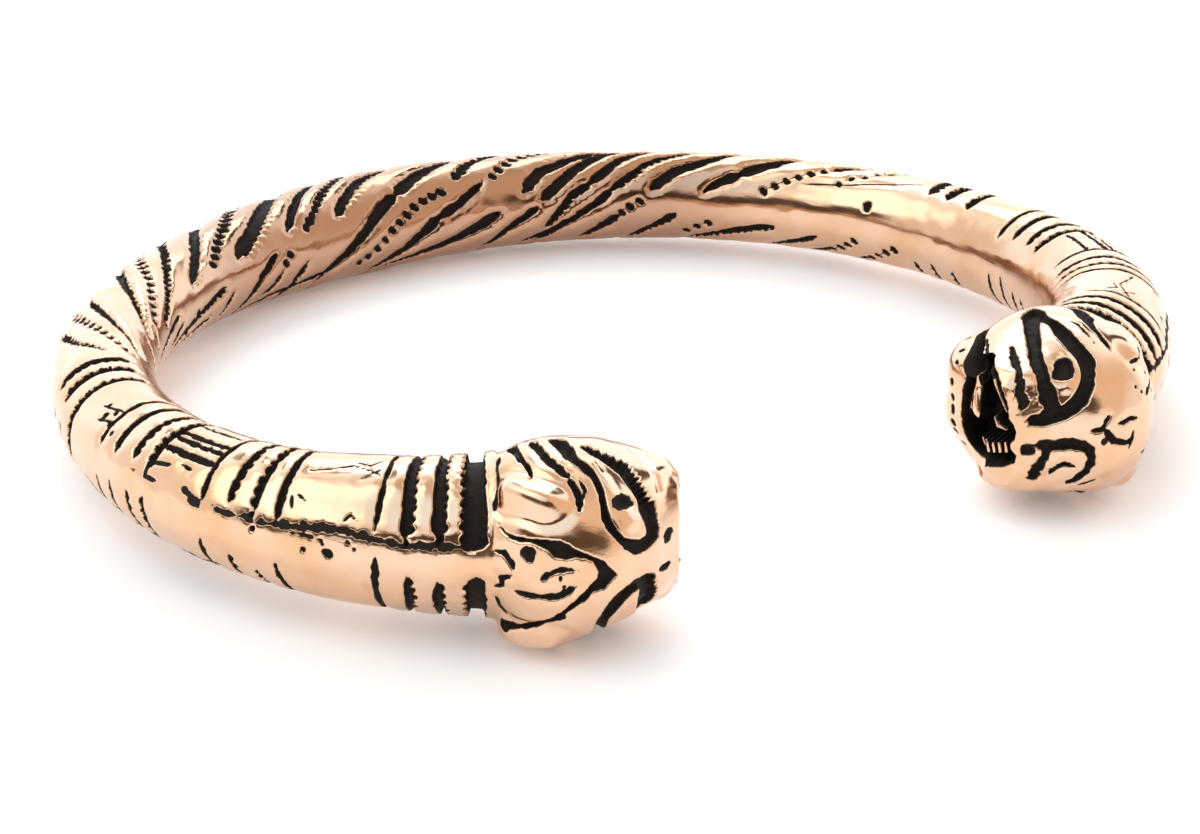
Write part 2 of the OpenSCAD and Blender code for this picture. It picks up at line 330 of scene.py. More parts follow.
armCarving = {
    "scallop": (0.68, 0.13),           # pitch and size of the scalloped edges
    "wander": 0.08, "wanderStep": 25,  # how far a stroke strays from square, and every how many degrees
    "lowerDepth": 0.85,                # depth of a lower stroke beside its upper one's
    "upperTaper": 0.6, "lowerTaper": 0.8, "lengthLean": 2,
    # how each kind of line is cut. Columns: depth, taper, teeth, jag, sink
    "lengthCut": (0.36, 0.5), "sideCutAndReflection": (0.05, 0.4, None, 0.16, 0), "underCut": (0.2, 1.5, None, 0.08, 0),
    "nickCut": (0.14, 0.3, None, 0.03, 0.02), "pitDepth": 0.22,
    # lines along the arm between two bands, which lean a little. Columns: from, to, angle, width
    "lengthLines": [
        (15.5, 19.4, 98, 0.26), (15.4, 19.6, 78, 0.4), (15.4, 19.5, 69, 0.34), (15.5, 19.6, 56, 0.44),
        (16.7, 17.6, 45, 0.2),
    ],
    # the ragged dark line that parts the upper strokes from the lower: a shallow cut dark with patina, and
    # also a painted reflection of the dark furniture. Columns: points, width
    "sideLinesAndReflection": [
        ([(16.8, 28), (15.3, 17)], 0.44),
        ([(14.6, 22), (13.7, 19), (12.8, 19), (11.8, 17), (10.5, 21)], 0.3),
        ([(10.6, 20), (9.4, 21), (7.8, 22), (6.6, 21)], 0.44),
        ([(6.8, 22), (5.3, 17), (4.3, 15), (0.9, 15)], 0.34), ([(9.9, 16), (8.6, 14), (8.2, 11)], 0.16),
        ([(7.4, 19), (6.6, 9)], 0.16),
    ],
    "underLines": [
        ([(27.3, -22), (24.4, -36), (22, -44), (19.4, -46), (17.7, -49), (16, -45), (14.6, -38)], 0.2),
    ],
    # punch marks and pits. Columns: place, angle, radius
    "pits": [
        (7.9, 2, 0.27), (9.2, 3, 0.12), (12, 12, 0.16), (25.6, 60, 0.16), (26.2, 52, 0.2),
        (25.3, 47, 0.13), (26.8, 62, 0.15), (20.9, 24, 0.1), (24.4, 42, 0.16),
    ],
    # nicks and scratches. Columns: points, width
    "nicks": [
        ([(6.5, 30), (6.9, 34), (7.2, 29)], 0.12),
        ([(10, 68), (8.8, 73), (7.5, 80), (6.4, 74), (5.7, 68)], 0.1),
        ([(7.6, 86), (6.6, 81), (6, 90)], 0.1), ([(6.9, 64), (5.9, 76)], 0.08),
        ([(9.9, 46), (9.3, 40)], 0.1), ([(18.3, 43), (19.9, 38), (19.8, 24), (18.9, 24)], 0.26),
        ([(10.2, 44), (10, 33)], 0.12), ([(25.2, 66), (27.2, 58)], 0.14),
        ([(25, 52), (26.6, 44)], 0.12),
    ],
}

# Winding strokes across the back, from the middle of the back (left is below zero) and round.
# Columns: kind (cut, saw, dots or beads), width at the start and end, points
twist = {
    "turnPerMm": -10.5, "mmPerDegree": 0.06, "topWidth": 1.12, "innerWidth": 1.55,
    "depth": 0.42, "taper": 0.8, "jag": 0.07, "saw": (0.62, 0.1, 1),       # saw: pitch, size and side
    "step": {"dots": 0.85, "beads": 0.612}, "dotDepth": 0.34, "beadDepth": 0.36,
    "dotShape": (0.75, 0.4, 3),         # how narrow and how long a dot is, and how far it leans (degrees)
    # how far the metal beside the strokes is drawn down: top, outer side, inner side, share for a row
    "sinks": (0.2, 0.12, 0.06), "rowSink": 0.6, "rowTrace": 0.02,
    "top": [
        ("beads", 0.5, 0.3, [(-32.2, 36), (-36.1, 66), (-38, 92)]),
        ("dots", 0.55, 0.35, [(-30.2, 47), (-34.5, 88), (-36.8, 111), (-38, 124)]),
        ("cut", 0.42, 0.2, [(-28.2, 62), (-30.5, 82), (-32.7, 105), (-34.5, 124), (-36.8, 141)]),
        ("saw", 0.6, 0.2, [(-21.5, 50), (-25.5, 92), (-29.6, 134), (-31, 150)]),
        ("dots", 0.6, 0.45, [(-19, 54), (-21.5, 82), (-24.2, 114), (-26.7, 133), (-28.4, 148)]),
        ("beads", 0.62, 0.45, [(-15.5, 48), (-20.1, 105), (-23.3, 135), (-25.3, 152), (-26.7, 161)]),
        ("cut", 0.62, 0.6, [(-11.5, 48), (-14.1, 79), (-17.2, 120), (-19.9, 148)]),
        ("dots", 0.75, 0.6, [(-8.6, 60), (-12.7, 105), (-15, 124), (-16.6, 141)]),
        ("saw", 0.85, 0.95, [(-4, 52), (-7.4, 92), (-10.9, 129), (-13.4, 146)]),
        ("cut", 0.5, 0.5, [(-1, 60), (-4.5, 99), (-6.2, 120), (-7.6, 141)]),
        ("beads", 0.5, 0.6, [(1, 70), (-2.6, 107), (-4.4, 128), (-6, 146)]),
        ("saw", 0.55, 0.6, [(4.2, 72), (0.9, 99), (-1.5, 126), (-2.7, 143)]),
        ("cut", 0.6, 0.85, [(11, 58), (7.7, 90), (5, 114), (3, 133)]),
        ("cut", 0.85, 0.35, [(3, 133), (1.1, 150), (-0.4, 169), (-2, 188), (-4, 208), (-5.2, 238)]),
        ("beads", 0.5, 0.75, [(13, 72), (10.1, 99), (8.5, 122)]),
        ("dots", 0.62, 0.45, [(6.8, 139), (5, 146), (2.3, 169), (0.2, 197), (-1, 208)]),
        ("cut", 0.4, 0.68, [(10.4, 134), (8.3, 158), (6.3, 171)]),
        ("cut", 0.68, 0.48, [(6.3, 171), (5, 186), (3.4, 204), (1.6, 223), (0.4, 238)]),
        ("dots", 0.7, 0.55, [(17.5, 66), (14.8, 88), (13.3, 99), (11.4, 126)]),
        ("cut", 0.75, 0.45, [(11.5, 178), (9.5, 194), (6.8, 212), (3.8, 226), (1.4, 238)]),
        ("cut", 0.7, 0.75, [(21, 68), (19, 90), (16.9, 111), (15.3, 124), (13.7, 152)]),
        ("cut", 0.5, 0.38, [(14.8, 175), (13.3, 191), (12.4, 202), (10.4, 236)]),
        ("cut", 0.6, 0.7, [(23, 66), (20.4, 92), (18.6, 116), (17.1, 137), (15.2, 165)]),
        ("cut", 0.4, 0.34, [(17.3, 196), (16.6, 206), (15.2, 221), (13.7, 238)]),
        ("cut", 0.5, 0.62, [(25.6, 64), (23.4, 84), (21.4, 109), (20.5, 126), (19.1, 146)]),
        ("saw", 0.55, 0.36, [(19.1, 146), (17.5, 163), (16.2, 191), (15.5, 206)]),
        ("saw", 0.45, 0.45, [(28.4, 66), (25.6, 94), (23.6, 116), (22.4, 135), (20.9, 154)]),
        ("cut", 0.48, 0.34, [(20.9, 154), (19.8, 171), (18.2, 189), (16.8, 206), (14.9, 236)]),
        ("cut", 0.6, 0.75, [(31.6, 68), (29.6, 88), (28, 109), (25.8, 129), (24, 155)]),
        ("dots", 0.55, 0.5, [(23.1, 170), (21.8, 182), (21, 196)]),
        ("cut", 0.56, 0.45, [(21.4, 192), (20.2, 208), (18.4, 236)]),
        ("cut", 0.55, 0.95, [(36.6, 62), (34.8, 82), (33.4, 104), (31, 128)]),
        ("cut", 0.95, 0.35, [(31, 128), (29.2, 145), (28.3, 156)]),
        ("cut", 0.55, 0.6, [(40.4, 76), (38.8, 92), (37.9, 102)]),
        ("dots", 0.5, 0.5, [(37.5, 108), (36.3, 120), (35.4, 127), (33.2, 150)]),
        ("cut", 0.3, 0.4, [(44.6, 62), (42.8, 82), (42, 93)]),
        ("dots", 0.4, 0.38, [(41.7, 97), (41, 108), (40, 115), (39.2, 127)]),
    ],
    # inner side, below the top
    "inner": [
        ("cut", 0.4, 0.34, [(-9.7, 164), (-11.6, 186), (-12.8, 210), (-14.3, 240)]),
        ("dots", 0.42, 0.36, [(-8.3, 168), (-8.8, 177)]),
        ("cut", 0.22, 0.34, [(-9, 186), (-10, 206), (-10.9, 212)]),
        ("cut", 0.26, 0.3, [(-6.4, 186), (-7.2, 200), (-8, 222), (-9, 240)]),
        ("saw", 0.34, 0.26, [(-15.9, 176), (-17.9, 183), (-20.4, 192), (-22.8, 200), (-25.2, 208)]),
        ("cut", 0.3, 0.24, [(-15, 188), (-15.6, 201), (-16.5, 227)]),
        ("cut", 0.26, 0.22, [(-4, 208), (-6.9, 216), (-10.1, 223), (-13, 232), (-16.3, 240)]),
        ("saw", 0.28, 0.2, [(-17.8, 206), (-20.6, 214), (-23.5, 222), (-26, 232)]),
        ("cut", 0.26, 0.2, [(-23.6, 170), (-26.4, 178), (-28.8, 188), (-30.5, 200)]),
        ("dots", 0.4, 0.34, [(-20.2, 185), (-21.6, 196), (-22.6, 212)]),
        ("cut", 0.3, 0.24, [(-23.1, 183), (-25.4, 200), (-27, 222)]),
        ("cut", 0.24, 0.24, [(-29.4, 152), (-30.2, 170)]),
        ("cut", 0.24, 0.24, [(-32.5, 150), (-33.4, 168), (-34.6, 190)]),
        ("saw", 0.38, 0.28, [(26.1, 188), (24.7, 204), (23.6, 216), (22.2, 238)]),
        ("dots", 0.36, 0.34, [(28.7, 199), (28, 204), (26.9, 217)]),
        ("saw", 0.34, 0.4, [(34.3, 198), (32.6, 203), (30.1, 216), (28.4, 228), (27, 240)]),
        ("cut", 0.34, 0.3, [(37.8, 205), (36.3, 218), (35.2, 226), (33.4, 242)]),
        ("dots", 0.36, 0.34, [(41.2, 200), (39.9, 216), (39, 224)]),
        ("cut", 0.3, 0.26, [(39, 224), (36.8, 246)]),
        ("dots", 0.36, 0.34, [(45, 199), (43.8, 210), (42.4, 226)]),
        ("cut", 0.28, 0.26, [(42.4, 226), (40.6, 246)]),
    ],
    # how the strokes that start below an angle go on over the outer side, which the photo does not show
    "onwardBelow": 100, "outerEdge": 28, "outer": (10, -112), "outerWidth": (0.5, 0.3),
    "outerSpan": (-36, 45),
    # smooth wall of the inner side on the right, with a dimple and a crease above it
    "dimple": (42.3, 152, 0.36, 0.35),
    "crease": [(36, 136), (40, 128), (44, 112), (45.6, 100)],
    "creaseCut": (0.1, 0.06, 2, None, 0.02, 0.06),
}


def carveArm(sheet, side, seed):
    def laid(points):
        return [(pastNeck(side, -s), a) for s, a in points]

    def stroke(s, start, end, seed):
        # a cross stroke, straying a little, with a point every 25 degrees or so
        count = max(2, int(abs(end - start) / armCarving["wanderStep"]) + 1)
        stray = np.random.default_rng(seed).uniform(-1, 1, count) * armCarving["wander"]
        return laid((s + d, a) for d, a in zip(stray, np.linspace(start, end, count)))

    for k, (s, width, depth, upFrom, upTo, lowFrom, lowTo, lowWidth, edge) in enumerate(bands):
        teeth = (*armCarving["scallop"], edge * -side) if edge else None
        for ends, wide, deep, taper, more in (
            ((upFrom, upTo), width, depth, "upperTaper", 0),
            ((lowFrom, lowTo), lowWidth, armCarving["lowerDepth"] * depth, "lowerTaper", seeds["lowerBands"]),
        ):
            # the collar is left square, because the heads' meshes meet the arms' there
            points = stroke(s, *ends, seed + more + k) if k else laid([(s, angle) for angle in ends])
            cutGroove(sheet, points, wide, deep, armCarving[taper] if k else 0, teeth)
    for start, end, angle, width in armCarving["lengthLines"]:
        for a in (angle, -angle):
            line = laid([(start, a), (end, a + armCarving["lengthLean"])])
            cutGroove(sheet, line, width, *armCarving["lengthCut"])
    for lines, cut in (("sideLinesAndReflection", "sideCutAndReflection"), ("underLines", "underCut"), ("nicks", "nickCut")):
        for points, width in armCarving[lines]:
            cutGroove(sheet, laid(points), width, *armCarving[cut])
    for s, angle, radius in armCarving["pits"]:
        punchDot(sheet, *laid([(s, angle)]), radius, armCarving["pitDepth"])


def carveRow(sheet, kind, first, last, points, sink):
    # one winding stroke: a chiselled cut, a cut with a sawn edge, a row of dots or a chain of beads
    t = np.array([leftLength + p[0] for p in points])
    angle = np.array([p[1] for p in points], float)
    places = list(zip(t, angle))
    if kind in ("cut", "saw"):
        teeth = twist["saw"] if kind == "saw" else None
        cutGroove(sheet, places, (first, last), twist["depth"], twist["taper"], teeth, twist["jag"], sink)
        return
    # the metal beside a row is drawn down without a cut
    cutGroove(sheet, places, twist["rowTrace"], 0, 0, None, 0, twist["rowSink"] * sink)
    way = wayAlong(t, angle * twist["mmPerDegree"])
    for share in np.linspace(0, 1, max(2, int(way[-1] / twist["step"][kind]) + 1)):
        at = (np.interp(share * way[-1], way, t), np.interp(share * way[-1], way, angle))
        radius = (first + (last - first) * share) / 2
        if kind == "beads":
            punchDot(sheet, at, radius, twist["beadDepth"])
        else:
            narrow, stretch, lean = twist["dotShape"]
            ends = (at[0] - stretch * radius, at[1]), (at[0] + stretch * radius, at[1] + lean)
            punchDot(sheet, ends[0], narrow * radius, twist["dotDepth"], ends[1])


def carveTwist(sheet):
    topSink, outerSink, innerSink = twist["sinks"]
    for kind, first, last, points in twist["top"]:
        first, last = first * twist["topWidth"], last * twist["topWidth"]
        carveRow(sheet, kind, first, last, points, topSink)
        t, angle = points[0]
        if angle > twist["onwardBelow"]:
            continue
        # over the top and down the outer side
        onward = lambda a: (t + (a - angle) / twist["turnPerMm"], a)
        carveRow(sheet, kind, first, first, [onward(twist["outerEdge"]), points[0]], topSink)
        start, end = map(onward, twist["outer"])
        if twist["outerSpan"][0] < start[0] and end[0] < twist["outerSpan"][1]:
            carveRow(sheet, kind, *twist["outerWidth"], [start, end], outerSink)
    for kind, first, last, points in twist["inner"]:
        carveRow(sheet, kind, first * twist["innerWidth"], last * twist["innerWidth"], points, innerSink)
    t, angle, radius, depth = twist["dimple"]
    punchDot(sheet, (leftLength + t, angle), radius, depth)
    cutGroove(sheet, [(leftLength + a, f) for a, f in twist["crease"]], *twist["creaseCut"])


# Section sizes of a head. Columns: share of its length, crown, throat and half height
headRows = np.array([
    (0, 4.8, 4.8, 4.8), (0.06, 5.3, 5, 5.2), (0.2, 6.3, 5.2, 5.7), (0.38, 6.8, 5.5, 5.8),
    (0.52, 6.7, 5.7, 5.4), (0.66, 6.2, 5.6, 4.9), (0.76, 5.3, 5.3, 4.6), (0.86, 3.9, 4.7, 4.3),
    (0.94, 2.7, 3.8, 4), (1, 1.5, 2.7, 3.3),
])
head = {
    "squareness": 0.86, "squareBy": 0.2,      # how square its sections are, and from which share of it
    "centre": (-0.9, 0.3), "rimDome": 0.3,    # where its end face closes, and how far that stands out
    "jawBack": 1.3, "jawRound": (112, 30), "jawAlong": (0.55, 0.45),      # the jaw ends behind the snout
    # how far cuts run on over the rim, how much narrower the end face is, and where relief starts
    "overRim": 3.0, "rimNarrow": 0.8, "reliefOver": 0.5, "cutOver": 0.6,
    # the mouth's hollow from the front, and the slot along its side, which ends before the rim
    "mouthDepth": 2.8, "mouthWall": (-0.05, 0.4), "mouthFrom": 8.4,
    "slotDepth": 1.6, "slotWall": (-0.05, 0.5), "slotEnd": (9.0, 1.6), "mouthJag": 0.04, "deepest": 2.5,
    "dome": 0.6, "domeEdge": (-0.07, 0.1), "domeBright": (0.01, 0.03),      # of what stands in the mouth
    # angle of the upper lip and of the jaw's edge along the head, where the mouth runs back as a slot
    "lipAngles": ((4, 131), (5, 128.5), (6.2, 124), (7.4, 119), (8.6, 116), (9.9, 111), (10.8, 102)),
    "jawAngles": ((4, 131), (5.7, 132), (6.9, 129.5), (8.1, 128), (9, 129), (9.8, 135), (10.8, 150)),
    # opening seen from the front, outward and up from the middle
    "opening": [
        (1.05, 0.5), (0.9, 0.95), (0.55, 1.4), (0.48, 1.9), (0.35, 2.4), (0.1, 2.9), (-0.2, 3.4),
        (-0.7, 3.85), (-1.6, 4.3), (-2.6, 4.3), (-3.1, 3.2), (-3.35, 2.2), (-3.5, 1.2), (-3.55, 0.2),
        (-3.5, -0.8), (-3.3, -1.8), (-2.8, -2.4), (-2.2, -2.5), (-1.5, -2.3), (-0.6, -2.15), (0.5, -1.8),
        (1, -1.5), (1.1, -1), (0.75, -0.65), (0.75, -0.3), (1, 0.1),
    ],
    # what stands in the mouth. Columns: from, to, radius at each end, depth of its top
    "inMouth": [
        ((-2.35, 3.5), (-2.55, 0.8), (0.12, 0.66), 0.1), ((-1.3, 3.95), (-0.6, 3.35), (0.07, 0.08), 0.05),
        ((-0.6, 3.35), (0.02, 2.45), (0.08, 0.08), 0.05), ((0.02, 2.45), (0.4, 1.75), (0.08, 0.06), 0.05),
        ((-0.5, 1.1), (-0.25, 0.6), (0.08, 0.15), 0.4), ((-0.25, 0.6), (0.3, 0.42), (0.15, 0.06), 0.4),
    ] + [
        ((-1.75 + 0.41 * k, -0.92 + 0.1 * k), (-1.66 + 0.41 * k, -1.4 + 0.09 * k), (0.11, 0.13), 0.3)
        for k in range(6)
    ],
}


def toothed(path, pitch, size):
    # a zigzag along a path of places and angles, its teeth to the left of the way
    perDegree, step, jag = 0.09, 0.1, 0.3       # mm round a head, mm each way for the slope, share
    way = np.array(path) * (1, perDegree)
    run = wayAlong(*way.T)
    count = 2 * int(run[-1] / pitch)
    spot = lambda d: np.array([np.interp(d, run, way[:, c]) for c in (0, 1)])
    out = []
    for k in range(count + 1):
        d = run[-1] * k / count
        x, y = spot(d)
        dx, dy = spot(d + step) - spot(d - step)
        reach = size * (k % 2) * (1 + jag * sin(7 * k)) / max(float(np.hypot(dx, dy)), 1e-6)
        out.append((float(x - reach * dy), float(y + reach * dx) / perDegree))
    return out


# Sunken areas of each head, with the eyes left standing in them. Columns: outline, depth, islands
headAreas = {
    -1: [
        ([(3.2, 90), (3.7, 80), (4.1, 73), (4.8, 68), (5.4, 62), (5.8, 55), (5.9, 47), (6, 34), (6.3, 27),
         (6.7, 22), (7.2, 16), (7.8, 10), (8.1, 9), (8.8, 10), (9.3, 13), (9.4, 20), (9.2, 29), (9.15, 38)]
         + toothed([(9.1, 44), (8.8, 51), (8.5, 58), (8.25, 68), (8, 75), (7.6, 82), (6.9, 86),
         (5.7, 88)], 0.42, 0.26) + [(5.2, 87), (4.9, 84), (4.5, 84), (4.3, 90)], 0.55, [[(4.6, 86),
         (4.8, 76), (5.2, 72), (5.6, 67), (5.9, 60), (6.1, 54), (6.2, 47), (6.3, 41), (6.5, 34), (6.8, 28),
         (7.2, 22), (7.6, 20), (8.1, 18), (8.5, 19), (8.6, 22), (8.5, 29), (8.2, 38), (8.1, 48), (7.8, 56),
         (7.5, 62), (7.2, 69), (6.7, 74), (6.1, 79), (5.6, 81), (5.1, 85)]]),
        ([(5.7, -28), (6.1, -18), (6.6, -11), (7.2, -7), (7.8, -5), (8.6, -5), (9, -8)] +
         toothed([(9.2, -12), (9.3, -22), (9.3, -36), (9.1, -50), (8.6, -62)], 0.34, -0.24) + [(8.1, -74),
         (7.6, -86), (6.6, -92), (5.2, -88), (4.6, -80), (5, -66), (5.4, -52), (5.5, -40)], 0.5,
         [[(5.3, -82), (5.8, -68), (6, -56), (6.1, -44), (6.3, -30), (6.8, -23), (7.2, -17), (7.7, -13),
         (8.2, -12), (8.1, -22), (8, -36), (7.8, -50), (7.3, -64), (6.5, -78)]]),
        ([(0.3, 31), (0.6, 25), (1.2, 21.5), (2, 20), (2.8, 20), (3.6, 20), (4.1, 18), (4.4, 16),
         (5.2, 13), (5.8, 10), (6.1, 8), (6.5, 4), (6.8, 1), (6.4, -1), (6, -4), (5.4, -5), (4.9, -10),
         (4.4, -13), (4.3, -10), (4.7, -6), (5.2, -2), (5.7, 0), (5.8, 4), (5.4, 9.5), (5, 11),
         (4.4, 11.5), (3.9, 10), (3.3, 11), (2.8, 16), (2.1, 18), (1.5, 18.5), (0.9, 21), (0.5, 26)], 0.42,
         []),
    ],
    1: [
        ([(2.9, 108), (3.6, 96), (4.2, 92), (4.6, 86), (5, 80), (5.4, 74), (5.7, 69), (6, 62),
         (6.3, 56), (6.9, 50), (7.4, 44), (7.9, 37), (8.3, 30), (8.7, 24), (9, 20), (9.4, 16), (9.8, 14),
         (10.2, 12), (10.6, 14), (10.7, 20), (10.5, 24), (10.3, 24), (10.1, 28), (10.15, 36), (10.1, 44),
         (9.95, 55), (9.6, 67), (9.1, 79), (8.3, 87), (7, 92), (5.6, 99), (4.6, 106), (3.8, 108)], 0.6,
         [[(5, 93), (4.9, 91), (5.1, 88), (5.7, 84), (6.3, 78), (6.8, 71), (7, 64), (7.4, 57),
         (7.9, 49), (8.4, 42), (8.9, 34), (9.3, 29), (9.5, 28), (9.5, 35), (9.4, 43), (9.3, 55), (8.9, 66),
         (8.3, 77), (7.5, 84), (6.3, 89)]]),
        ([(4.4, -88), (4.9, -78), (5.8, -64), (6.8, -54), (7.8, -52), (8.6, -58), (8.6, -70), (8.2, -84),
         (6.6, -94)], 0.5, [[(5.4, -84), (6.1, -72), (6.9, -62), (7.7, -62), (7.8, -72), (7, -84)]]),
        ([(1.2, 101), (1.7, 92), (2.5, 86), (3.4, 80), (4.2, 70), (4.7, 60), (4.9, 53), (4.5, 57),
         (4.3, 62), (3.8, 68), (3.2, 72), (2.6, 74), (2.2, 78), (1.7, 81), (1.2, 85), (0.7, 96)], 0.45, []),
        ([(4.2, 82), (4.5, 76), (4.9, 69), (5.2, 63), (5, 66), (4.6, 72), (4.2, 77)], 0.3, []),
    ],
}
# Carved strokes of each head, and those behind both. Columns: points, width, depth, taper, teeth
headCuts = {
    -1: [
        ([(0.9, 99), (1.2, 90), (1.6, 76), (2, 66), (2.2, 60)], (0.75, 0.2), 0.45, 0.2),
        ([(2.3, 91), (2.7, 81), (3, 74), (3.4, 68), (3.9, 63), (4.3, 58)], 0.5, 0.42, 0.3,
         (0.6, 0.06, -1)),
        ([(4.3, 58), (4.6, 52), (4.8, 46), (4.75, 39)], (0.5, 0.4), 0.42, 0.2),
        ([(4.8, 59), (5.15, 52), (4.95, 45)], (0.14, 0.2), 0.26, 0.3),
        ([(4.4, -11), (4.1, -14), (3.6, -20), (2.8, -26), (2.2, -31), (1.5, -37), (0.6, -44)], (0.26, 0.24),
         0.38),
        ([(2.5, 0), (3.1, 3), (3.6, 5), (4.6, 5)], (0.3, 0.14), 0.26, 0.5),
        ([(1.1, -10), (1.7, -9), (2.5, -8), (3.3, -7), (3.9, -5), (4.5, -2)], 0.3, 0.28, 0.4),
        ([(0.1, 13), (0.5, 12), (0.9, 7), (1, 3)], 0.28, 0.28, 0.3),
        ([(0.1, -13), (0.4, -10), (0.4, -5), (0.9, -1)], 0.24, 0.26, 0.2),
        ([(0.1, -23), (0.25, -29), (0.6, -36)], 0.22, 0.24, 0.2),
        ([(5.7, 76), (6.2, 68)], (0.16, 0.1), 0.1, 0.3),
        ([(9.5, -9), (10.3, -13)], 0.36, 0.28, 0.3),
        ([(0.1, 40), (0.35, 55), (0.3, 70), (0.5, 82)], 0.16, 0.2, 0.3),
    ],
    1: [
        ([(7.6, 98), (8.6, 93), (9.5, 87), (10.3, 74), (10.66, 56), (10.72, 38)], (0.3, 0.4), 0.22, 0.3),
        ([(7.85, 66), (8.5, 57)], 0.95, 0.42),
        ([(6.6, 121), (7.5, 116), (8.7, 112), (9.9, 107), (10.5, 102)], 0.14, 0.18, 0.4),
        ([(10.1, -3), (10.1, -10), (10.2, -20), (10.3, -29), (10.3, -37)], (0.34, 0.3), 0.42),
        ([(10.4, -3), (10.1, -2), (9.6, -1.5), (9.2, -1.5), (8.8, -3), (8.5, -6), (8.35, -12), (8.3, -19),
         (8.4, -26), (8.5, -34), (8.7, -40)], (0.4, 0.36), 0.42, 0.1),
        ([(9.75, -28), (9.6, -22), (9.3, -18), (8.9, -20)], 0.24, 0.3, 0.3, (0.2, 0.04, 1)),
        ([(8.5, 6), (8, 6), (7.6, 15)], 0.22, 0.28, 0.3),
        ([(7.9, 6), (7.4, -1), (6.5, -4), (5.9, -3)], 0.28, 0.32, 0.3),
        ([(5.85, 0), (6.15, -8)], 0.26, 0.3, 0.2),
        ([(7.1, 8), (6.3, 8.5), (5.5, 7)], 0.28, 0.28, 0.5),
        ([(2.7, 42), (3.3, 37), (4.3, 39)], 0.16, 0.16, 0.3),
        ([(8.1, -42), (7.5, -33)], 0.2, 0.25, 0.3),
        ([(0.5, 26), (1.6, 21), (2.8, 19), (4.2, 16)], (0.24, 0.3), 0.26, 0.5),
        ([(0.5, -26), (1.6, -21), (2.8, -19), (4.2, -16)], (0.24, 0.3), 0.26, 0.5),
    ],
}
neckCuts = [
    ([(1.1, -88), (1.5, -78), (2.1, -64)], (0.7, 0.4), 0.42, 0.3),
    ([(2.4, -88), (2.95, -72), (3.9, -58)], (0.5, 0.4), 0.42, 0.4),
]
# Punched dots and pupils. Columns: along, angle, radius, depth
headDots = {
    -1: [
        (7.2, 46, 0.56, 0.3), (10.05, 10, 0.3, 0.28), (1.9, 12, 0.38, 0.28), (3.6, -20, 0.3, 0.34),
        (0.7, -44, 0.26, 0.3), (7.3, -46, 0.45, 0.3), (3.6, 1, 0.1, 0.1), (3.8, -2, 0.08, 0.1),
    ],
    1: [
        (10.65, -7, 0.24, 0.3), (7.2, -72, 0.3, 0.3), (7.9, -1, 0.1, 0.1), (4.6, 20, 0.1, 0.1),
        (5, 25, 0.1, 0.12), (3.2, 27, 0.09, 0.1), (4.4, 34, 0.08, 0.1), (2.9, 15, 0.1, 0.1),
    ],
}
# Raised forms. Columns: points, radius, rise, softness
headPads = {
    -1: [
        # the ears, each with a hollow round it
        *(([(1.2, 50 * s), (2.9, 42 * s)], *form)
          for form in ((0.75, 0.72, 1.7), (1.7, -0.12, 0.9)) for s in (1, -1)),
        ([(5.6, 72), (7.6, 32)], 0.35, 0.18, 1),
        ([(8, 98), (8.9, 84), (9.3, 68), (9.5, 52)], 0.1, -0.14, 0.5),
    ],
    1: [
        ([(1.1, 51), (2.9, 46)], 1.1, 0.3, 1.3), ([(1.1, -51), (2.7, -44)], 1.1, 0.4, 1.1),
        ([(6.4, 82), (8.9, 45)], 0.3, 0.2, 0.9), ([(10, 84), (10.2, 60)], 0.12, 0.06, 0.7),
    ],
}
# Broad forms that make each head fuller or flatter than the plain form. Same columns
headForms = {
    -1: [
        ([(0.6, 112), (3.6, 112)], 1.6, -0.5, 3), ([(1.2, -60), (3.2, -58)], 1, 0.3, 2.4),
        ([(6, -62), (8.8, -60)], 1.2, -0.5, 2.6), ([(10.6, -60), (10.6, 60)], 1, -0.25, 1.6),
    ],
    1: [
        ([(6.5, 146), (9, 142)], 1.3, 0.6, 2.4), ([(8.6, -138), (9.6, -138)], 1.6, -0.75, 2.6),
        ([(5, -84), (9, -84)], 1.4, -0.45, 2.6),
    ],
}
# Dots along both jaws. Columns as for the punched dots
jawDots = [(a, f, 0.19, 0.2) for a, f in (
    (6, 138), (7.9, 135), (9, 140), (9.4, 157), (9.6, 170), (9.6, 179), (9.5, 189), (9.3, 198),
    (7.6, 215),
)]


def headSize(share, column):
    # a smooth curve through the rows of one column
    x, y = headRows[:, 0], headRows[:, column]
    slope = np.gradient(y, x)
    k = np.clip(np.searchsorted(x, share) - 1, 0, len(x) - 2)
    gap = x[k + 1] - x[k]
    f = np.clip((share - x[k]) / gap, 0, 1)
    return (
        y[k] * (1 + 2 * f) * (1 - f) ** 2 + y[k + 1] * f * f * (3 - 2 * f)
        + gap * (slope[k] * f * (1 - f) ** 2 - slope[k + 1] * f * f * (1 - f))
    )


